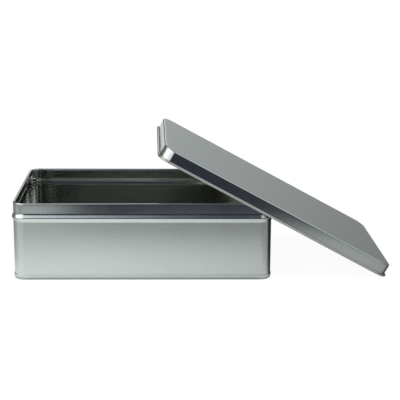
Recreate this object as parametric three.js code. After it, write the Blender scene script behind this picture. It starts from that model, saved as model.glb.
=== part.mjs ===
// An open rectangular metal tin, with its loose lid leaning on it.
// The tin is a pressed sheet sleeve whose base is seamed on, so a proud foot ring runs round the bottom.
// The lid straddles the tin's right end: its panel rests on the rolled rim, its lower edge on the ground.
// Millimetres, +Z up, +X towards the lid's low end, +Y away from the tin's front.
import * as THREE from 'three';

// Tin, measured over the flat outer walls
const LENGTH = 240;
const WIDTH = 156;
const HEIGHT = 73;
const CORNER_RADIUS = 11;
const SHEET = 0.28;

// Rolled rim, curled inwards so that it stays flush with the neck
const RIM_RADIUS = 1.05;
const RIM_TURN = 280;

// Stop bead that the closed lid sits on, and the slight swell that fades out below it
const BEAD_BELOW_RIM = 14;
const BEAD_HEIGHT = 7.2;
const BEAD_PROUD = 1.2;
const SWELL_PROUD = 0.12;
const SWELL_HEIGHT = 5;

// Seamed base
const FOOT_PROUD = 0.6;
const FOOT_HEIGHT = 4.6;
const FOOT_TOP_ROUND = 0.15;
const FOOT_BOTTOM_ROUND = 0.8;
const FOOT_INNER_ROUND = 0.3;
const BASE_PANEL_HEIGHT = 2.5;
const BASE_PANEL_ROUND = 0.6;
const GROOVE_FLOOR = 0.45;

// Lid
const LID_CLEARANCE = 0.6;
const LID_HEIGHT = 12.4;
const LID_EDGE_ROUND = 1.3;
const CURL_RADIUS = 1.1;
const CURL_TURN = 285;

// How the lid leans: tilt of its panel, turn in its own plane, and sideways place
const LID_TILT = 28.6;
const LID_TURN = 1.0;
const LID_ASIDE = 0.2;

// Daylight between separate pieces
const GAP = 0.3;

// Fineness of the faceted surfaces
const CORNER_STEPS = 6;
const CURL_STEPS = 10;
const BEAD_STEPS = 10;
const ROUND_STEPS = 4;
// A panel's flat centre starts this far in from the outline
const PANEL_EDGE = 3;

const HALF_SHEET = SHEET / 2;
const radians = THREE.MathUtils.degToRad;

// A profile is a list of points (inset, height): inset runs inwards from the outline, height runs up.
function point(inset, height) {
  return new THREE.Vector2(inset, height);
}

function arc(inset, height, radius, from, to, steps) {
  const points = [];
  for (let i = 0; i <= steps; i += 1) {
    const angle = radians(from + ((to - from) * i) / steps);
    points.push(point(inset + radius * Math.cos(angle), height + radius * Math.sin(angle)));
  }
  return points;
}

// Gives a centreline the thickness of the sheet: along its outer side, then back along its inner side.
function thicken(line) {
  const outer = [];
  const inner = [];
  line.forEach((here, i) => {
    const arriving = here.clone().sub(line[Math.max(i - 1, 0)]).normalize();
    const leaving = line[Math.min(i + 1, line.length - 1)].clone().sub(here).normalize();
    const along = arriving.clone().add(leaving).normalize();
    const mitre = Math.max(arriving.dot(along), leaving.dot(along));
    const side = point(along.y, -along.x).multiplyScalar(HALF_SHEET / mitre);
    outer.push(here.clone().add(side));
    inner.unshift(here.clone().sub(side));
  });
  return [...outer, ...inner];
}

// One level of a loft: a rectangle with rounded corners, anticlockwise seen from above.
function roundedRectangle(length, width, radius, height) {
  const corners = [[1, 1], [-1, 1], [-1, -1], [1, -1]];
  return corners.flatMap(([signX, signY], quarter) => {
    const centreX = signX * (length / 2 - radius);
    const centreY = signY * (width / 2 - radius);
    const round = arc(centreX, centreY, radius, quarter * 90, quarter * 90 + 90, CORNER_STEPS);
    return round.map((corner) => [corner.x, corner.y, height]);
  });
}

// Carries a profile round an outline. A panel closes over the middle, otherwise the profile meets itself.
// The profile goes down its outward side and up its inward side, so the faces point out.
function loft(profile, outline, hasPanel) {
  const rings = profile.map(({ x: inset, y: height }) => roundedRectangle(
    outline.length - 2 * inset,
    outline.width - 2 * inset,
    outline.radius - inset,
    height,
  ));
  const perRing = rings[0].length;
  const vertices = rings.flat();
  const triangles = [];
  const bands = hasPanel ? rings.length - 1 : rings.length;
  for (let band = 0; band < bands; band += 1) {
    const upper = band * perRing;
    const lower = ((band + 1) % rings.length) * perRing;
    for (let i = 0; i < perRing; i += 1) {
      const next = (i + 1) % perRing;
      triangles.push(upper + i, lower + i, upper + next);
      triangles.push(upper + next, lower + i, lower + next);
    }
  }
  if (hasPanel) {
    const lastRing = (rings.length - 1) * perRing;
    const topCentre = vertices.push([0, 0, profile[0].y]) - 1;
    const undersideCentre = vertices.push([0, 0, profile[profile.length - 1].y]) - 1;
    for (let i = 0; i < perRing; i += 1) {
      const next = (i + 1) % perRing;
      triangles.push(topCentre, i, next);
      triangles.push(undersideCentre, lastRing + next, lastRing + i);
    }
  }
  const geometry = new THREE.BufferGeometry();
  geometry.setAttribute('position', new THREE.Float32BufferAttribute(vertices.flat(), 3));
  geometry.setIndex(triangles);
  geometry.computeVertexNormals();
  return geometry;
}

// The sleeve's centreline, from the hidden end of the rolled rim, over it and down to the bottom edge.
function wallCentreline() {
  const beadTop = HEIGHT - BEAD_BELOW_RIM + BEAD_HEIGHT / 2;
  const beadBottom = beadTop - BEAD_HEIGHT;
  const line = arc(RIM_RADIUS, HEIGHT - RIM_RADIUS, RIM_RADIUS - HALF_SHEET, 180 - RIM_TURN, 180, CURL_STEPS);
  for (let i = 0; i <= BEAD_STEPS; i += 1) {
    const down = i / BEAD_STEPS;
    const proud = BEAD_PROUD * Math.sin(Math.PI * down) ** 2 + SWELL_PROUD * down;
    line.push(point(HALF_SHEET - proud, beadTop - BEAD_HEIGHT * down));
  }
  line.push(point(HALF_SHEET, beadBottom - SWELL_HEIGHT));
  line.push(point(HALF_SHEET, GROOVE_FLOOR + GAP));
  return line;
}

// The base's section: panel, wall inside the sleeve, groove for the sleeve's edge, and the foot's seam.
function baseProfile() {
  const insideWall = SHEET + GAP;
  const insideFace = insideWall + SHEET;
  const panelTop = BASE_PANEL_HEIGHT + SHEET;
  return [
    point(PANEL_EDGE, panelTop),
    ...arc(insideWall + BASE_PANEL_ROUND, panelTop - BASE_PANEL_ROUND, BASE_PANEL_ROUND, 90, 180, ROUND_STEPS),
    point(insideWall, GROOVE_FLOOR),
    point(-GAP, GROOVE_FLOOR),
    ...arc(-GAP - FOOT_TOP_ROUND, FOOT_HEIGHT - FOOT_TOP_ROUND, FOOT_TOP_ROUND, 0, 180, ROUND_STEPS),
    ...arc(-FOOT_PROUD + FOOT_BOTTOM_ROUND, FOOT_BOTTOM_ROUND, FOOT_BOTTOM_ROUND, 180, 270, ROUND_STEPS),
    ...arc(insideFace - FOOT_INNER_ROUND, FOOT_INNER_ROUND, FOOT_INNER_ROUND, 270, 360, ROUND_STEPS),
    point(insideFace, BASE_PANEL_HEIGHT - SHEET),
    point(insideFace + SHEET, BASE_PANEL_HEIGHT),
    point(PANEL_EDGE, BASE_PANEL_HEIGHT),
  ];
}

// The lid's centreline, from its flat panel over the rounded edge and down to the outward curl.
function lidCentreline() {
  const curlCentre = HALF_SHEET - (CURL_RADIUS - HALF_SHEET);
  return [
    point(PANEL_EDGE, LID_HEIGHT - HALF_SHEET),
    ...arc(LID_EDGE_ROUND, LID_HEIGHT - LID_EDGE_ROUND, LID_EDGE_ROUND - HALF_SHEET, 90, 180, ROUND_STEPS),
    ...arc(curlCentre, CURL_RADIUS, CURL_RADIUS - HALF_SHEET, 0, -CURL_TURN, CURL_STEPS),
  ];
}

function tinplate(colour, roughness) {
  return new THREE.MeshStandardMaterial({ color: colour, roughness, metalness: 1 });
}

function named(name, geometry, material) {
  const mesh = new THREE.Mesh(geometry, material);
  mesh.name = name;
  return mesh;
}

// Leans the lid until its panel lies along the tin's right rim and its lowest corner touches the ground.
function leanLid(lid, outline) {
  const tilt = new THREE.Matrix4().makeRotationY(radians(LID_TILT));
  const turn = new THREE.Matrix4().makeRotationZ(radians(LID_TURN));
  lid.quaternion.setFromRotationMatrix(tilt.multiply(turn));

  const proud = 2 * (CURL_RADIUS - SHEET);
  const curlLine = roundedRectangle(
    outline.length + proud,
    outline.width + proud,
    outline.radius + proud / 2,
    CURL_RADIUS,
  );
  const curlHeights = curlLine.map((spot) => new THREE.Vector3(...spot).applyQuaternion(lid.quaternion).z);
  const riseToGround = CURL_RADIUS - Math.min(...curlHeights);

  const normal = new THREE.Vector3(0, 0, 1).applyQuaternion(lid.quaternion);
  const rimCentre = new THREE.Vector3(LENGTH / 2 - RIM_RADIUS, 0, HEIGHT - RIM_RADIUS);
  const panelOverOrigin = LID_HEIGHT - SHEET - GAP - RIM_RADIUS;
  const alongNormal = rimCentre.dot(normal) - panelOverOrigin;
  lid.position.set((alongNormal - normal.z * riseToGround) / normal.x, LID_ASIDE, riseToGround);
}

const tinOutline = { length: LENGTH, width: WIDTH, radius: CORNER_RADIUS };
const lidMargin = LID_CLEARANCE + SHEET;
const lidOutline = {
  length: LENGTH + 2 * lidMargin,
  width: WIDTH + 2 * lidMargin,
  radius: CORNER_RADIUS + lidMargin,
};

const wall = named('tin_wall', loft(thicken(wallCentreline()), tinOutline, false), tinplate(0xaeb4b9, 0.38));
const base = named('tin_base', loft(baseProfile(), tinOutline, true), tinplate(0xb4b9bd, 0.34));
const lid = named('lid', loft(thicken(lidCentreline()), lidOutline, true), tinplate(0x9fa5a8, 0.3));
leanLid(lid, lidOutline);

const object = new THREE.Group();
object.add(wall, base, lid);

// The origin goes under the middle of the whole object, on the ground.
const extent = new THREE.Box3().setFromObject(object, true);
const middle = extent.getCenter(new THREE.Vector3());
object.position.set(-middle.x, -middle.y, -extent.min.z);

export default object;
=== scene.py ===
# %% [markdown]
# # A tinplate box with its lid leaning on it
#
# The object is a rectangular food tin and its loose lid. Both are thin steel sheet with a bright tin
# coating. The solids of the construction are loaded first and stay where they are. This script lays finer
# skins over them, gives those skins a finish, and sets up a floor, a light and a camera.

# %% Load the construction
import math

import bpy
from mathutils import Matrix, Vector, noise


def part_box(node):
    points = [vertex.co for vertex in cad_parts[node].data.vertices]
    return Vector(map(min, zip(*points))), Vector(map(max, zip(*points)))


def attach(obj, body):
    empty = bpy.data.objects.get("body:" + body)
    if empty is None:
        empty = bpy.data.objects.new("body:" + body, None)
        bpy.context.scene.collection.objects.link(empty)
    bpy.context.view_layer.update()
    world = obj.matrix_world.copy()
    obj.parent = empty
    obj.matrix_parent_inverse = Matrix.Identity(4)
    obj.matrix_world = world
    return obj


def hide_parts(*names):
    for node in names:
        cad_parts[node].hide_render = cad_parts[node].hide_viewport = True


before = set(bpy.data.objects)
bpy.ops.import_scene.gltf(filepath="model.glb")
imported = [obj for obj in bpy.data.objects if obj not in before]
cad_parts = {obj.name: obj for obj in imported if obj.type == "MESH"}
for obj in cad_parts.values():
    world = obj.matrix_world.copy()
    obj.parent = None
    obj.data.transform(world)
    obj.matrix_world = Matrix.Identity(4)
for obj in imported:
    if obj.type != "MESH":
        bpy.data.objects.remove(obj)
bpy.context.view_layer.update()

print("nodes:", ", ".join(sorted(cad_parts)))

# %% [markdown]
# ## Sizes
#
# A tin is drawn from a handful of sizes: its length, width and height over the flat walls, the radius of
# its corners, and the thickness of the sheet. They are written in metres here, because that is Blender's
# unit. The place of the tin comes from the loaded solids, so that nothing has to be fitted by eye.

# %% Sizes of the tin and the lid
MM = 0.001
LENGTH = 240 * MM
WIDTH = 156 * MM
HEIGHT = 73 * MM
CORNER_RADIUS = 11 * MM
SHEET = 0.28 * MM
HALF_SHEET = SHEET / 2

RIM_RADIUS = 1.05 * MM
RIM_TURN = 280
BEAD_BELOW_RIM = 9.4 * MM
BEAD_HEIGHT = 8.9 * MM
# The bead's section: each pair is a drop below its top in millimetres and the outward slope there in degrees
BEAD_SLOPES = ((0, 0), (0.3, 3), (1.6, 18), (2.0, 22), (4.0, 22), (4.7, 0), (5.4, -24), (7.1, -24), (8.9, 0))
SWELL_HEIGHT = 5 * MM

FOOT_PROUD = 0.5 * MM
FOOT_TOP = 4.7 * MM
FOOT_SHOULDER = 4.55 * MM
FOOT_BELLY = 4.4 * MM
FOOT_UNDER = 1.0 * MM
FOOT_INNER_ROUND = 0.3 * MM
BASE_PANEL_HEIGHT = 2.5 * MM
BASE_PANEL_ROUND = 0.6 * MM
GROOVE_FLOOR = 0.45 * MM
GAP = 0.3 * MM
SEAM_CONTACT = 0.01 * MM

LID_CLEARANCE = 0.6 * MM
LID_MARGIN = LID_CLEARANCE + SHEET
LID_HEIGHT = 12.4 * MM
LID_EDGE_ROUND = 1.3 * MM
CURL_RADIUS = 1.1 * MM
CURL_TURN = 285
LID_TILT = math.radians(28.6)
LID_TURN = math.radians(1.0)

wall_low, wall_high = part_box("tin_wall")
TIN_CENTRE = Vector(((wall_low.x + wall_high.x) / 2, (wall_low.y + wall_high.y) / 2, 0))
print("tin centre:", [round(c, 4) for c in TIN_CENTRE], "rim height:", round(wall_high.z, 4))

# %% [markdown]
# ## Profiles
#
# Every piece is one section carried round a rounded rectangle. The section is a list of points, each with
# an inset (how far it lies inside the outline), a height, and a polish from 0 for the satin sheet to 1 for
# metal that a tool has rubbed bright. Curls and rounds are arcs, worked out by a loop.

# %% Section points
from collections import namedtuple

Spot = namedtuple("Spot", "inset height polish")


def arc(inset, height, radius, start, end, steps, polish):
    """Points along an arc, with the angles in degrees."""
    spots = []
    for i in range(steps + 1):
        angle = math.radians(start + (end - start) * i / steps)
        spots.append(Spot(inset + radius * math.cos(angle), height + radius * math.sin(angle), polish))
    return spots


def straight(a, b, steps):
    """Points strictly between two spots, so that a long run can carry a gentle wave."""
    return [
        Spot(*(p + (q - p) * i / steps for p, q in zip(a, b)))
        for i in range(1, steps)
    ]


def thicken(line):
    """The outer side of a centreline, then its inner side on the way back, half a sheet to either side."""
    outer = []
    inner = []
    for i, here in enumerate(line):
        before = line[max(i - 1, 0)]
        after = line[min(i + 1, len(line) - 1)]
        arriving = Vector((here.inset - before.inset, here.height - before.height)).normalized()
        leaving = Vector((after.inset - here.inset, after.height - here.height)).normalized()
        along = (arriving + leaving).normalized()
        reach = HALF_SHEET / max(arriving.dot(along), leaving.dot(along))
        outer.append(Spot(here.inset + along.y * reach, here.height - along.x * reach, here.polish))
        inner.insert(0, Spot(here.inset - along.y * reach, here.height + along.x * reach, here.polish))
    return outer, inner


# %% [markdown]
# ## Lofting a section round a rounded rectangle
#
# Blender could sweep the section with a curve and a bevel object, but the corners would then shear. Rings
# of points keep every corner a true quarter circle: each section point becomes one ring, and neighbouring
# rings are joined by quads. Each corner of the mesh also remembers three things for the finish: where it
# lies before the lid is tilted, how polished it is, and whether it faces into the box.

# %% The loft
CORNER_STEPS = 16
LONG_STEPS = 26
SHORT_STEPS = 18
SMALLEST_RADIUS = 2 * MM
SHARP_ANGLE = math.radians(35)
OUTSIDE = 0.0
INSIDE = 1.0


def ring(length, width, radius):
    """A rounded rectangle as points in the plane, anticlockwise from the start of its back right corner."""
    points = []
    corners = [(1, 1, LONG_STEPS), (-1, 1, SHORT_STEPS), (-1, -1, LONG_STEPS), (1, -1, SHORT_STEPS)]
    for quarter, (side_x, side_y, side_steps) in enumerate(corners):
        centre = Vector((side_x * (length / 2 - radius), side_y * (width / 2 - radius)))
        for i in range(CORNER_STEPS + 1):
            angle = math.radians(90 * (quarter + i / CORNER_STEPS))
            points.append(centre + Vector((math.cos(angle), math.sin(angle))) * radius)
        next_x, next_y, _ = corners[(quarter + 1) % 4]
        next_centre = Vector((next_x * (length / 2 - radius), next_y * (width / 2 - radius)))
        turn = math.radians(90 * (quarter + 1))
        side_start = points[-1]
        side_end = next_centre + Vector((math.cos(turn), math.sin(turn))) * radius
        points += [side_start.lerp(side_end, i / side_steps) for i in range(1, side_steps)]
    return points


def loft(name, sides, length, width, radius, panel):
    """A mesh object from the sides of a section, each given as whether it faces inside, and its spots."""
    rings = []
    polish = []
    inside = []
    for faces_inside, spots in sides:
        for spot in spots:
            outline = ring(
                length - 2 * spot.inset,
                width - 2 * spot.inset,
                max(radius - spot.inset, SMALLEST_RADIUS),
            )
            rings.append([Vector((p.x, p.y, spot.height)) for p in outline])
            polish += [spot.polish] * len(outline)
            inside += [faces_inside] * len(outline)
    count = len(rings[0])
    points = [p for one in rings for p in one]
    faces = []
    for band in range(len(rings) - 1 if panel else len(rings)):
        upper = band * count
        lower = (band + 1) % len(rings) * count
        for i in range(count):
            j = (i + 1) % count
            faces.append((upper + i, lower + i, lower + j, upper + j))
    if panel:
        faces.append(tuple(range(count)))
        last = (len(rings) - 1) * count
        faces.append(tuple(reversed(range(last, last + count))))
    mesh = bpy.data.meshes.new(name)
    mesh.from_pydata(points, [], faces)
    mesh.attributes.new("sheet", "FLOAT_VECTOR", "POINT").data.foreach_set(
        "vector", [c for p in points for c in p])
    mesh.attributes.new("polish", "FLOAT", "POINT").data.foreach_set("value", polish)
    mesh.attributes.new("inside", "FLOAT", "POINT").data.foreach_set("value", inside)
    mesh.polygons.foreach_set("use_smooth", [True] * len(faces))
    mesh.set_sharp_from_angle(angle=SHARP_ANGLE)
    piece = bpy.data.objects.new(name, mesh)
    bpy.context.scene.collection.objects.link(piece)
    print(f"{name}: {len(rings)} rings, {len(faces)} faces")
    return piece


# %% [markdown]
# ## The sheet's slight waviness
#
# Pressed sheet is never dead flat. A wave of a few hundredths of a millimetre is too small to see in the
# outline but bends every reflection a little, which is what makes metal look real. It is moved into the
# mesh itself, so it is there from every side, and it fades out at the formed edges, which are stiff.

# %% The wave
WAVE_LENGTH = 55 * MM
WAVE_DEPTH = 0.05 * MM
STIFF_EDGE = 14 * MM


def wave(place, seed):
    """A smooth random height, much the same over one wave length."""
    return WAVE_DEPTH * noise.noise(place / WAVE_LENGTH + Vector((seed, 0, 0)))


def ripple_panel(piece, length, width, low, high, seed):
    """Moves the flat of a panel up and down, less and less towards its edges."""
    for vertex in piece.data.vertices:
        x, y, z = vertex.co
        to_edge = min(length / 2 - abs(x), width / 2 - abs(y))
        if low <= z <= high and to_edge > 0:
            fade = min(to_edge / STIFF_EDGE, 1.0)
            vertex.co.z += fade * fade * wave(Vector((x, y, 0)), seed)


def ripple_wall(piece, low, high, seed):
    """Moves the flat of the walls in and out, less and less towards the foot, the bead and the corners."""
    for vertex in piece.data.vertices:
        x, y, z = vertex.co
        along_end = LENGTH / 2 - abs(x) < WIDTH / 2 - abs(y)
        to_corner = (WIDTH / 2 - abs(y) if along_end else LENGTH / 2 - abs(x)) - CORNER_RADIUS
        to_edge = min(z - low, high - z, to_corner)
        if to_edge > 0:
            fade = min(to_edge / STIFF_EDGE, 1.0)
            shift = fade * fade * wave(Vector((x, y, z)), seed)
            if along_end:
                vertex.co.x += math.copysign(shift, x)
            else:
                vertex.co.y += math.copysign(shift, y)


# %% [markdown]
# ## The sleeve
#
# The body of the tin is a sleeve. Its top edge is rolled inwards, so that no raw edge is left to cut a
# finger and the lid can slide over the straight neck. Below the neck a bead is pressed outwards for the lid
# to stop on. It could be a sine wave, but what a polished bead mirrors depends on its slope alone. So it is
# given as a short list of slopes: a gentle start, an even run out to the crest, and a turn back under it.
# The centreline is drawn once, and both faces of the sheet follow from it.

# %% Build the sleeve
CURL_STEPS = 22
NECK_STEPS = 4
BEAD_STEPS = 36
SWELL_STEPS = 3
WALL_STEPS = 10
GROOVE_DEPTH = 0.5
POLISH_FADE = 4
BRIGHT = 1.0
RUBBED = 0.6
SATIN = 0.0


def slope_at(drop):
    """The bead's slope at a drop below its top, read off between the given slopes."""
    for (above, start), (below, end) in zip(BEAD_SLOPES, BEAD_SLOPES[1:]):
        if drop <= below:
            return math.radians(start + (end - start) * (drop - above) / (below - above))
    return 0.0


def bead_line(top):
    """The bead's points from its top down. Each step goes outwards by the slope there."""
    spots = []
    step = BEAD_HEIGHT / BEAD_STEPS
    proud = 0.0
    for i in range(BEAD_STEPS + 1):
        polish = BRIGHT + (SATIN - BRIGHT) * (i / BEAD_STEPS) ** POLISH_FADE
        spots.append(Spot(HALF_SHEET - proud, top - step * i, polish))
        proud += step * math.tan(slope_at(step * (i + 0.5) / MM))
    return spots


def sleeve_line():
    """The sleeve's centreline, from the hidden end of the rolled rim over it and down to the foot."""
    bead_top = HEIGHT - BEAD_BELOW_RIM
    line = arc(RIM_RADIUS, HEIGHT - RIM_RADIUS, RIM_RADIUS - HALF_SHEET,
               180 - RIM_TURN, 180, CURL_STEPS, BRIGHT)
    bead = bead_line(bead_top)
    line += straight(line[-1], bead[0], NECK_STEPS) + bead
    swell_end = Spot(HALF_SHEET, bead_top - BEAD_HEIGHT - SWELL_HEIGHT, SATIN)
    foot_end = Spot(HALF_SHEET, GROOVE_FLOOR + GAP, SATIN)
    line += straight(line[-1], swell_end, SWELL_STEPS)
    line.append(swell_end)
    line += straight(swell_end, foot_end, WALL_STEPS)
    line.append(foot_end)
    return line


def soften_groove(spots):
    """Inside, the bead shows as a groove. It is drawn shallower than the bead, so that it mirrors less."""
    return [
        spot._replace(inset=SHEET - (SHEET - spot.inset) * GROOVE_DEPTH) if spot.inset < SHEET else spot
        for spot in spots
    ]


sleeve_outer, sleeve_inner = thicken(sleeve_line())
sleeve_inner = soften_groove(sleeve_inner)
sleeve = loft("tin_wall_skin", ((OUTSIDE, sleeve_outer), (INSIDE, sleeve_inner)),
              LENGTH, WIDTH, CORNER_RADIUS, panel=False)
ripple_wall(sleeve, FOOT_TOP, HEIGHT - BEAD_BELOW_RIM - BEAD_HEIGHT - SWELL_HEIGHT, seed=3.7)

# %% [markdown]
# ## The base
#
# The base is a shallow tray whose edge is folded up round the sleeve's bottom edge and pressed flat. That
# fold is the foot ring. It steps out from the wall at a soft shoulder, and curves under towards the table.
# The section goes over the panel, down inside the sleeve, round the groove that holds the sleeve's edge,
# and back under the foot.

# %% Build the base
ROUND_STEPS = 8
FLARE_STEPS = 12
PANEL_RINGS = 9
PANEL_REACH = 66 * MM


def panel_run(inset, height, polish):
    """Rings that step inwards over a flat panel, closer together near its edge."""
    return [
        Spot(inset + (PANEL_REACH - inset) * (i / PANEL_RINGS) ** 2, height, polish)
        for i in range(1, PANEL_RINGS + 1)
    ]


def base_sides():
    """The base's section: its upper side down into the seam, and its lower side from the foot's top on."""
    inside_wall = SHEET + GAP
    inside_face = inside_wall + SHEET
    panel_top = BASE_PANEL_HEIGHT + SHEET
    edge = arc(inside_wall + BASE_PANEL_ROUND, panel_top - BASE_PANEL_ROUND, BASE_PANEL_ROUND,
               90, 180, ROUND_STEPS, RUBBED)
    above = list(reversed(panel_run(edge[0].inset, panel_top, SATIN))) + edge
    above.append(Spot(inside_wall, GROOVE_FLOOR, SATIN))
    above.append(Spot(-SEAM_CONTACT, GROOVE_FLOOR, SATIN))
    below = []
    for i in range(FLARE_STEPS + 1):
        down = i / FLARE_STEPS
        proud = SEAM_CONTACT + (FOOT_PROUD - SEAM_CONTACT) * math.sin(math.pi / 2 * down) ** 2
        below.append(Spot(-proud, FOOT_TOP + (FOOT_SHOULDER - FOOT_TOP) * down, RUBBED))
    for i in range(ROUND_STEPS + 1):
        turn = math.pi / 2 * i / ROUND_STEPS
        inset = -FOOT_PROUD + FOOT_UNDER * (1 - math.cos(turn))
        below.append(Spot(inset, FOOT_BELLY * (1 - math.sin(turn)), RUBBED))
    below += arc(inside_face - FOOT_INNER_ROUND, FOOT_INNER_ROUND, FOOT_INNER_ROUND,
                 270, 360, ROUND_STEPS, RUBBED)
    below.append(Spot(inside_face, BASE_PANEL_HEIGHT - SHEET, SATIN))
    below.append(Spot(inside_face + SHEET, BASE_PANEL_HEIGHT, SATIN))
    below += panel_run(inside_face + SHEET, BASE_PANEL_HEIGHT, SATIN)
    return above, below


base_above, base_below = base_sides()
base = loft("tin_base_skin", ((INSIDE, base_above), (OUTSIDE, base_below)),
            LENGTH, WIDTH, CORNER_RADIUS, panel=True)
ripple_panel(base, LENGTH, WIDTH, BASE_PANEL_HEIGHT - SHEET / 2, BASE_PANEL_HEIGHT + 2 * SHEET, seed=8.1)

# %% [markdown]
# ## The lid
#
# The lid is drawn from one sheet: a flat panel, a small round where it turns down, a skirt that clears the
# neck, and an edge curled outwards. It is built level and then tilted, so its finish can follow the sheet's
# own directions.

# %% Build the lid
SKIRT_STEPS = 4


def lid_line():
    """The lid's centreline, from the middle of its panel over the edge and down to the outward curl."""
    curl_centre = HALF_SHEET - (CURL_RADIUS - HALF_SHEET)
    edge = arc(LID_EDGE_ROUND, LID_HEIGHT - LID_EDGE_ROUND, LID_EDGE_ROUND - HALF_SHEET,
               90, 180, ROUND_STEPS, BRIGHT)
    curl = arc(curl_centre, CURL_RADIUS, CURL_RADIUS - HALF_SHEET, 0, -CURL_TURN, CURL_STEPS, BRIGHT)
    panel = list(reversed(panel_run(edge[0].inset, LID_HEIGHT - HALF_SHEET, SATIN)))
    return panel + edge + straight(edge[-1], curl[0], SKIRT_STEPS) + curl


lid_length = LENGTH + 2 * LID_MARGIN
lid_width = WIDTH + 2 * LID_MARGIN
lid_outer, lid_inner = thicken(lid_line())
lid = loft("lid_skin", ((OUTSIDE, lid_outer), (INSIDE, lid_inner)),
           lid_length, lid_width, CORNER_RADIUS + LID_MARGIN, panel=True)
ripple_panel(lid, lid_length, lid_width, LID_HEIGHT - 2 * SHEET, LID_HEIGHT + SHEET, seed=14.9)

# %% [markdown]
# ## Putting the pieces in place
#
# The tin only slides to its place. The lid is turned a little in its own plane and tilted, and then moved
# until the box around it matches the box around the loaded lid. The move goes into the mesh, so the pieces'
# objects stay at the origin.

# %% Place the pieces
to_tin = Matrix.Translation(TIN_CENTRE)
sleeve.data.transform(to_tin)
base.data.transform(to_tin)

lid.data.transform(Matrix.Rotation(LID_TILT, 4, "Y") @ Matrix.Rotation(LID_TURN, 4, "Z"))
corners = [v.co for v in lid.data.vertices]
lid_low, lid_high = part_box("lid")
here = Vector((
    (min(c.x for c in corners) + max(c.x for c in corners)) / 2,
    (min(c.y for c in corners) + max(c.y for c in corners)) / 2,
    min(c.z for c in corners),
))
there = Vector(((lid_low.x + lid_high.x) / 2, (lid_low.y + lid_high.y) / 2, lid_low.z))
lid.data.transform(Matrix.Translation(there - here))

for piece, node in ((sleeve, "tin_wall"), (base, "tin_base"), (lid, "lid")):
    weighted = piece.modifiers.new("even shading", "WEIGHTED_NORMAL")
    weighted.mode = "FACE_AREA"
    weighted.keep_sharp = True
    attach(piece, "root")
    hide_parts(node)
print("lid moved by", [round(c, 4) for c in there - here])

# %% [markdown]
# ## Reckoning with shader sockets
#
# A node graph is easier to read as a formula. This class wraps one output socket, so that plus, times and
# the rest add the Math node they stand for. The bench that owns it adds any other node: its settings go in
# first, then the values or links of its sockets.

# %% Sums on sockets
class Wire:
    """An output socket that Python's operators can reckon with."""

    def __init__(self, bench, socket):
        self.bench = bench
        self.socket = socket

    def reckon(self, operation, *terms):
        return self.bench.node("ShaderNodeMath", {"operation": operation}, dict(enumerate(terms)))

    def __add__(self, other):
        return self.reckon("ADD", self, other)

    def __radd__(self, other):
        return self.reckon("ADD", other, self)

    def __sub__(self, other):
        return self.reckon("SUBTRACT", self, other)

    def __rsub__(self, other):
        return self.reckon("SUBTRACT", other, self)

    def __mul__(self, other):
        return self.reckon("MULTIPLY", self, other)

    def __rmul__(self, other):
        return self.reckon("MULTIPLY", other, self)

    def __truediv__(self, other):
        return self.reckon("DIVIDE", self, other)

    def clamped(self):
        return self.bench.node("ShaderNodeClamp", {}, {"Value": self})


# %% The bench that holds the nodes
class Bench:
    """The node tree of one material or of the world, emptied and ready for new nodes."""

    def __init__(self, owner):
        owner.use_nodes = True
        self.tree = owner.node_tree
        self.tree.nodes.clear()

    def node(self, kind, settings, inputs, output=0):
        node = self.tree.nodes.new(kind)
        for name, value in settings.items():
            if name == "stops":
                ramp = node.color_ramp
                ramp.elements[1].position = value[-1][0]
                for position, _ in value[1:-1]:
                    ramp.elements.new(position)
                for element, (position, level) in zip(ramp.elements, value):
                    element.position = position
                    element.color = (level, level, level, 1)
            else:
                setattr(node, name, value)
        for name, value in inputs.items():
            if isinstance(value, Wire):
                self.tree.links.new(value.socket, node.inputs[name])
            else:
                node.inputs[name].default_value = value
        return Wire(self, node.outputs[output]) if node.outputs else None

    def parts(self, vector):
        """The three numbers of a vector."""
        splitter = self.tree.nodes.new("ShaderNodeSeparateXYZ")
        self.tree.links.new(vector.socket, splitter.inputs[0])
        return [Wire(self, output) for output in splitter.outputs]

    def attribute(self, name, output="Fac"):
        return self.node("ShaderNodeAttribute", {"attribute_name": name}, {}, output)

    def ramp(self, value, stops):
        return self.node("ShaderNodeValToRGB", {"stops": stops}, {"Fac": value})

    def mix(self, factor, a, b):
        """Mixes two colours, given as colours or wires."""
        settings = {"data_type": "RGBA"}
        return self.node("ShaderNodeMix", settings, {0: factor, 6: a, 7: b}, output=2)

    def stretched(self, vector, scale):
        return self.node("ShaderNodeVectorMath", {"operation": "MULTIPLY"}, {0: vector, 1: scale})

    def speckle(self, vector, scale, detail):
        return self.node("ShaderNodeTexNoise", {}, {"Vector": vector, "Scale": scale, "Detail": detail})


# %% [markdown]
# ## Tinplate
#
# The satin sheet has a very fine grain, with faint lines along the way the sheet was rolled. Rims, skirts
# and curls were dragged over polished tools and are glossier. Inside, a clear lacquer covers the grain and
# makes the sheet a touch warmer. A picture of metal could be wrapped on, but noise needs no seams. It is
# drawn over the sheet's own coordinates, so the grain keeps its size and tilts with the lid.

# %% The finish
TINT = (0.63, 0.67, 0.66, 1)
LACQUERED_TINT = (0.605, 0.617, 0.592, 1)
GRAIN_FINENESS = 2600.0
CLOUD_FINENESS = 28.0
ROLLED_FINENESS = (90.0, 2400.0, 2400.0)
RUB_FINENESS = (30.0, 420.0, 420.0)
RUB_STOPS = [(0.0, 0.0), (0.6, 0.0), (0.72, 1.0), (1.0, 1.0)]

# How much each pattern changes the roughness, the colour and the relief
GRAIN_ROUGHNESS = 0.10
CLOUD_ROUGHNESS = 0.06
RUB_ROUGHNESS = 0.03
LACQUER_ROUGHNESS = 0.03
GRAIN_SHADE = 0.12
ROLLED_SHADE = 0.10
CLOUD_SHADE = 0.05
ROLLED_RELIEF = 0.5
POLISHED_AWAY = 0.85
BUMP_STRENGTH = 0.12
BUMP_HEIGHT = 0.02 * MM


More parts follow.
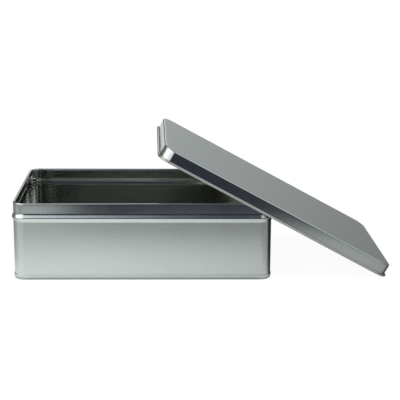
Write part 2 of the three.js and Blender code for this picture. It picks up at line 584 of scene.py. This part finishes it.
def tinplate(name, satin, bright, lacquered):
    """The finish of one piece, from the roughness of its satin, its polished and its lacquered metal."""
    material = bpy.data.materials.new(name)
    bench = Bench(material)
    sheet = bench.attribute("sheet", "Vector")
    polish = bench.attribute("polish")
    inside = bench.attribute("inside")

    grain = bench.speckle(sheet, GRAIN_FINENESS, detail=3.0) - 0.5
    clouds = bench.speckle(sheet, CLOUD_FINENESS, detail=3.0) - 0.5
    rolled = bench.speckle(bench.stretched(sheet, ROLLED_FINENESS), 1.0, detail=2.0) - 0.5
    rubs = bench.ramp(bench.speckle(bench.stretched(sheet, RUB_FINENESS), 1.0, detail=4.0), RUB_STOPS)

    outer = satin + (bright - satin) * polish
    outer = outer + grain * GRAIN_ROUGHNESS + clouds * CLOUD_ROUGHNESS - rubs * RUB_ROUGHNESS
    roughness = outer + (lacquered + clouds * LACQUER_ROUGHNESS - outer) * inside

    shade = 1.0 + (rolled * ROLLED_SHADE + grain * GRAIN_SHADE) * (1 - inside) + clouds * CLOUD_SHADE
    colour = bench.mix(inside, TINT, LACQUERED_TINT)
    colour = bench.node("ShaderNodeVectorMath", {"operation": "SCALE"}, {0: colour, "Scale": shade})

    height = (grain + rolled * ROLLED_RELIEF) * (1 - POLISHED_AWAY * polish) * (1 - inside)
    bump = bench.node("ShaderNodeBump", {}, {
        "Height": height,
        "Strength": BUMP_STRENGTH,
        "Distance": BUMP_HEIGHT,
    })
    shader = bench.node("ShaderNodeBsdfPrincipled", {}, {
        "Base Color": colour,
        "Metallic": 1.0,
        "Roughness": roughness.clamped(),
        "Normal": bump,
    })
    bench.node("ShaderNodeOutputMaterial", {}, {"Surface": shader})
    return material


# Each piece, its slot, and the roughness of its satin, its polished and its lacquered metal
finishes = (
    (sleeve, "body_tinplate", 0.29, 0.16, 0.12),
    (base, "base_tinplate", 0.29, 0.20, 0.12),
    (lid, "lid_tinplate", 0.30, 0.16, 0.12),
)
for piece, slot, satin, bright, lacquered in finishes:
    piece.data.materials.append(tinplate(slot, satin, bright, lacquered))
    print(slot, "on", piece.name)

# %% [markdown]
# ## Floor
#
# The tin stands on a pale sweep, lit so evenly that it is almost without shadow. Metal shows the table it
# stands on, and there the shadows and the table's dark far parts matter. So there are two sheets: the one
# that the camera sees, nearly white by its own light, and a matt table that only reflections and bounced
# light see. The table's light and shade are painted into its colour, which it glows with and is lit in: a
# painted pool of light near the tin that fades to dark a little way in front of it and dims towards the
# right, painted shade beside the tin's left end, a painted shadow under the lid, and painted contact shade
# in the crease where the tin stands on it. Each list below holds places along one direction, from 0 to 1,
# and the level of painted light there.

# %% Sheets of the studio
def flat_sheet(name, half, height):
    """A square sheet of the studio, level, centred under the object."""
    corners = [(-half, -half, height), (half, -half, height), (half, half, height), (-half, half, height)]
    mesh = bpy.data.meshes.new(name)
    mesh.from_pydata(corners, [], [(0, 1, 2, 3)])
    card = bpy.data.objects.new(name, mesh)
    bpy.context.scene.collection.objects.link(card)
    return card


def seen_by(card, camera, reflections, bounces):
    """Says which rays meet the sheet. It never throws a shadow."""
    card.visible_camera = camera
    card.visible_glossy = reflections
    card.visible_diffuse = bounces
    card.visible_shadow = False


def studio_sheet(name, colour_of, glow):
    """A matt material that glows in its own colour. The colour comes from a function of the bench."""
    material = bpy.data.materials.new(name)
    bench = Bench(material)
    colour = colour_of(bench)
    shader = bench.node("ShaderNodeBsdfPrincipled", {}, {
        "Base Color": colour,
        "Roughness": 1.0,
        "Specular IOR Level": 0.0,
        "Emission Color": colour,
        "Emission Strength": glow,
    })
    bench.node("ShaderNodeOutputMaterial", {}, {"Surface": shader})
    return material


# %% The table's painted light and shade
# The table's two colours: its painted shade and its painted light. It glows with them and is lit in them.
TABLE_PAINTED_SHADE = (0.03, 0.033, 0.045, 1)
TABLE_PAINTED_LIGHT = (1.0, 1.0, 0.97, 1)

# How many lengths of each list go into a metre, and for the one behind the tin's front its length in metres
CENTRE_PER_METRE = 2.4
LEFT_PER_METRE = 2.0
DEPTH_PER_METRE = 4
BEHIND_LENGTH = 1.6

# The painted pool of light: its level ahead of the tin in the middle and by the left end, and across to the
# right
AHEAD_CENTRE = [(0.0, 0.86), (0.15, 0.885), (0.27, 0.83), (0.36, 0.65), (0.43, 0.4), (0.50, 0.12),
                (0.54, 0.0)]
AHEAD_LEFT = [(0.0, 0.88), (0.10, 0.88), (0.25, 0.72), (0.36, 0.38), (0.42, 0.34), (0.50, 0.62),
              (0.58, 0.55), (0.66, 0.0)]
LEFT_PART = [(0.0, 1.0), (0.32, 1.0), (0.375, 0.0)]
ALONG_FRONT = [(0.0, 0.4), (0.15, 0.7), (0.25, 0.92), (0.30, 0.98), (0.34, 0.96), (0.40, 0.93),
               (0.50, 0.81), (0.55, 0.73), (0.58, 0.74), (0.62, 0.52), (0.70, 0.37), (1.0, 0.22)]
# Behind the tin's front: a painted dip of shade close behind it, and more painted light farther back
BEHIND_FRONT = [(0.0, 1.0), (0.06, 0.68), (0.3, 0.78), (0.6, 1.3), (1.0, 1.8)]
# Painted shade beside the tin's left end: across, and in depth from the tin's front
SHADE_BESIDE_END = [(0.0, 1.0), (0.24, 1.0), (0.30, 0.0)]
SHADE_BESIDE_DEPTH = [(0.0, 0.0), (0.2, 0.0), (0.62, 0.35), (1.0, 0.35)]
# Painted shadow of the lid on the table under it: across, in depth, and how much it darkens
LID_SHADOW_ACROSS = [(0.0, 0.0), (0.563, 0.0), (0.576, 1.0), (0.70, 1.0), (0.72, 0.0)]
LID_SHADOW_DEPTH = [(0.0, 0.0), (0.06, 1.0), (0.6, 1.0), (0.7, 0.0)]
LID_SHADOW_DARKNESS = 0.95
# Painted contact shade in the crease where the tin stands, set by how open the table is within this width
CREASE_PAINTED_SHADE = [(0.0, 0.15), (0.5, 0.35), (0.85, 1.0), (1.0, 1.0)]
CREASE_SHADE_WIDTH = 16 * MM


def painted_table_light(bench):
    """A painted pool of light, pale near the tin and most of all by its left end, and dark farther out in
    front, with painted shade beside the left end, under the lid and in the crease at the tin's foot.
    """
    x, y, _ = bench.parts(bench.node("ShaderNodeTexCoord", {}, {}, "Object"))
    front = TIN_CENTRE.y - WIDTH / 2
    ahead = front - y
    along = x + 0.5
    depth = (y - front) * DEPTH_PER_METRE
    in_centre = bench.ramp(ahead * CENTRE_PER_METRE, AHEAD_CENTRE)
    on_left = bench.ramp(ahead * LEFT_PER_METRE, AHEAD_LEFT)
    level = in_centre + (on_left - in_centre) * bench.ramp(along, LEFT_PART)
    level = level * bench.ramp(along, ALONG_FRONT)
    level = level * bench.ramp((y - front) / BEHIND_LENGTH, BEHIND_FRONT)
    # Painted shade beside the tin's left end, a painted shadow under the lid, and painted contact shade in
    # the crease
    painted_shade_beside = bench.ramp(along, SHADE_BESIDE_END) * bench.ramp(depth + 0.5, SHADE_BESIDE_DEPTH)
    painted_lid_shadow = bench.ramp(along, LID_SHADOW_ACROSS) * bench.ramp(depth, LID_SHADOW_DEPTH)
    # How open the table is close to the tin; it sets the painted contact shade
    openness = bench.node("ShaderNodeAmbientOcclusion", {"samples": 8}, {"Distance": CREASE_SHADE_WIDTH}, output=1)
    level = level * (1 - painted_shade_beside) * (1 - painted_lid_shadow * LID_SHADOW_DARKNESS) * bench.ramp(openness, CREASE_PAINTED_SHADE)
    return bench.mix(level, TABLE_PAINTED_SHADE, TABLE_PAINTED_LIGHT)


# %% Lay the floor and the table
FLOOR_HALF = 12.0
FLOOR_GREY = (0.12, 0.12, 0.12, 1)
FLOOR_GLOW = 7.9
TABLE_HALF = 3.0
# How strongly the table glows with its painted light and shade
TABLE_GLOW = 0.48
HAIR = 0.05 * MM

floor = flat_sheet("floor", FLOOR_HALF, 0)
floor.data.materials.append(studio_sheet("pale_floor", lambda bench: FLOOR_GREY, FLOOR_GLOW))
seen_by(floor, camera=True, reflections=False, bounces=False)

table = flat_sheet("table", TABLE_HALF, -HAIR)
# The table that reflections see, with its painted light and shade
table.data.materials.append(studio_sheet("painted_light_table", painted_table_light, TABLE_GLOW))
seen_by(table, camera=False, reflections=True, bounces=True)
print("floor and table in place")

# %% [markdown]
# ## Studio
#
# Metal shows what is around it, so the surroundings matter more than the lights. They could be modelled as
# a room of cards, but a sky reckoned from the direction of view is smoother and quicker. In front the room
# is dark and a little blue, up to a pale strip of ceiling overhead. On the left it is bright from a little
# above the horizon, and the bright part leans to the right as it goes up. On the right only the upper part
# is lit. Behind hangs a grey backdrop, brightest in its middle, which is what the lid's tilted panel shows.
# Each list holds places from 0 to 1 along one direction and the level there.

# %% The world
UP_AHEAD = [(0.0, 0.02), (0.49, 0.03), (0.70, 0.04), (0.88, 0.06), (0.965, 0.08), (0.985, 0.4), (1.0, 0.5)]
UP_LEFT = [(0.0, 0.3), (0.5, 0.3), (0.605, 0.35), (0.635, 1.15), (0.80, 1.4), (1.0, 1.1)]
UP_RIGHT = [(0.0, 0.03), (0.5, 0.06), (0.62, 0.10), (0.70, 0.6), (0.76, 0.85), (0.90, 0.85), (1.0, 0.6)]
UP_BACKDROP = [(0.0, 0.10), (0.485, 0.21), (0.50, 0.30), (0.52, 0.43), (0.55, 0.45), (0.65, 0.68),
               (0.74, 0.35), (0.90, 0.35), (1.0, 0.5)]
ACROSS_BACKDROP = [(0.0, 0.3), (0.40, 0.25), (0.44, 0.3), (0.47, 1.0), (0.50, 1.8), (0.54, 1.7),
                   (0.575, 0.91), (0.60, 0.98), (0.62, 0.94), (0.65, 0.74), (0.67, 0.61), (1.0, 0.25)]
LEFT_EDGE = [(0.0, 1.0), (0.345, 1.0), (0.370, 0.56), (0.395, 0.22), (0.42, 0.0)]
LEFT_EDGE_SLANT = [(0.0, 0.0), (0.55, 0.55), (0.68, 0.55), (0.72, 0.80), (0.825, 0.825), (0.88, 0.78),
                   (1.0, 0.75)]
RIGHT_EDGE = [(0.0, 0.0), (0.56, 0.0), (0.68, 1.0), (1.0, 1.0)]
BACK_EDGE = [(0.0, 0.0), (0.5, 0.1), (0.75, 1.0), (1.0, 1.0)]
SLANT_REACH = 0.27
LEFT_RISE = 0.15
BLUE_AIR = (0.78, 0.87, 1.1, 1)
CLEAR_AIR = (0.96, 1.0, 0.99, 1)

world = bpy.data.worlds.new("studio")
bpy.context.scene.world = world
bench = Bench(world)
right, back, up = bench.parts(bench.node("ShaderNodeTexCoord", {}, {}, "Generated"))
height = up * 0.5 + 0.5
across = right * 0.5 + 0.5
slant = bench.ramp(height, LEFT_EDGE_SLANT) * SLANT_REACH
leftward = bench.ramp(across - slant + SLANT_REACH / 2, LEFT_EDGE)
rightward = bench.ramp(across, RIGHT_EDGE)
backward = bench.ramp(back * 0.5 + 0.5, BACK_EDGE)

level = bench.ramp(height, UP_AHEAD)
level = level + (bench.ramp(height - back * LEFT_RISE, UP_LEFT) - level) * leftward
level = level + (bench.ramp(height, UP_RIGHT) - level) * rightward
backdrop = bench.ramp(height, UP_BACKDROP) * bench.ramp(across, ACROSS_BACKDROP)
level = level + (backdrop - level) * backward
air = bench.mix((leftward + rightward + backward).clamped(), BLUE_AIR, CLEAR_AIR)
background = bench.node("ShaderNodeBackground", {}, {"Color": air, "Strength": level})
bench.node("ShaderNodeOutputWorld", {}, {"Surface": background})

# %% The light
SOFTBOX_PLACE = Vector((-1.3, -0.7, 0.9))
SOFTBOX_AIM = Vector((0, 0, 0.05))
SOFTBOX_WIDTH = 1.2
SOFTBOX_HEIGHT = 0.9
SOFTBOX_WATTS = 4.0

lamp = bpy.data.lights.new("left_softbox", "AREA")
lamp.shape = "RECTANGLE"
lamp.size = SOFTBOX_WIDTH
lamp.size_y = SOFTBOX_HEIGHT
lamp.energy = SOFTBOX_WATTS
softbox = bpy.data.objects.new("left_softbox", lamp)
softbox.location = SOFTBOX_PLACE
softbox.rotation_euler = (SOFTBOX_AIM - SOFTBOX_PLACE).to_track_quat("-Z", "Y").to_euler()
bpy.context.scene.collection.objects.link(softbox)
print("studio in place")

# %% [markdown]
# ## Camera
#
# The place and lens of the camera were worked out from the straight edges of the tin and its lid: a long
# lens, a little to the right of the tin's middle, looking down on it by about thirteen degrees.

# %% The camera
IMAGE_SIDE = 400
FOCAL_PIXELS = 1185.5
SENSOR = 36.0
CAMERA_OFFSET = Vector((24.1, -1137.7, 331.9)) * MM
CAMERA_YAW = math.radians(1.563)
CAMERA_PITCH = math.radians(13.541)
CAMERA_ROLL = math.radians(0.42)

lens = bpy.data.cameras.new("camera")
lens.sensor_width = SENSOR
lens.lens = SENSOR * FOCAL_PIXELS / IMAGE_SIDE
camera = bpy.data.objects.new("camera", lens)
camera.matrix_world = (
    Matrix.Translation(TIN_CENTRE + CAMERA_OFFSET)
    @ Matrix.Rotation(-CAMERA_YAW, 4, "Z")
    @ Matrix.Rotation(math.radians(90) - CAMERA_PITCH, 4, "X")
    @ Matrix.Rotation(CAMERA_ROLL, 4, "Z")
)
bpy.context.scene.collection.objects.link(camera)
bpy.context.scene.camera = camera
bpy.context.scene.view_settings.view_transform = "Standard"
print("lens:", round(lens.lens, 1), "mm")
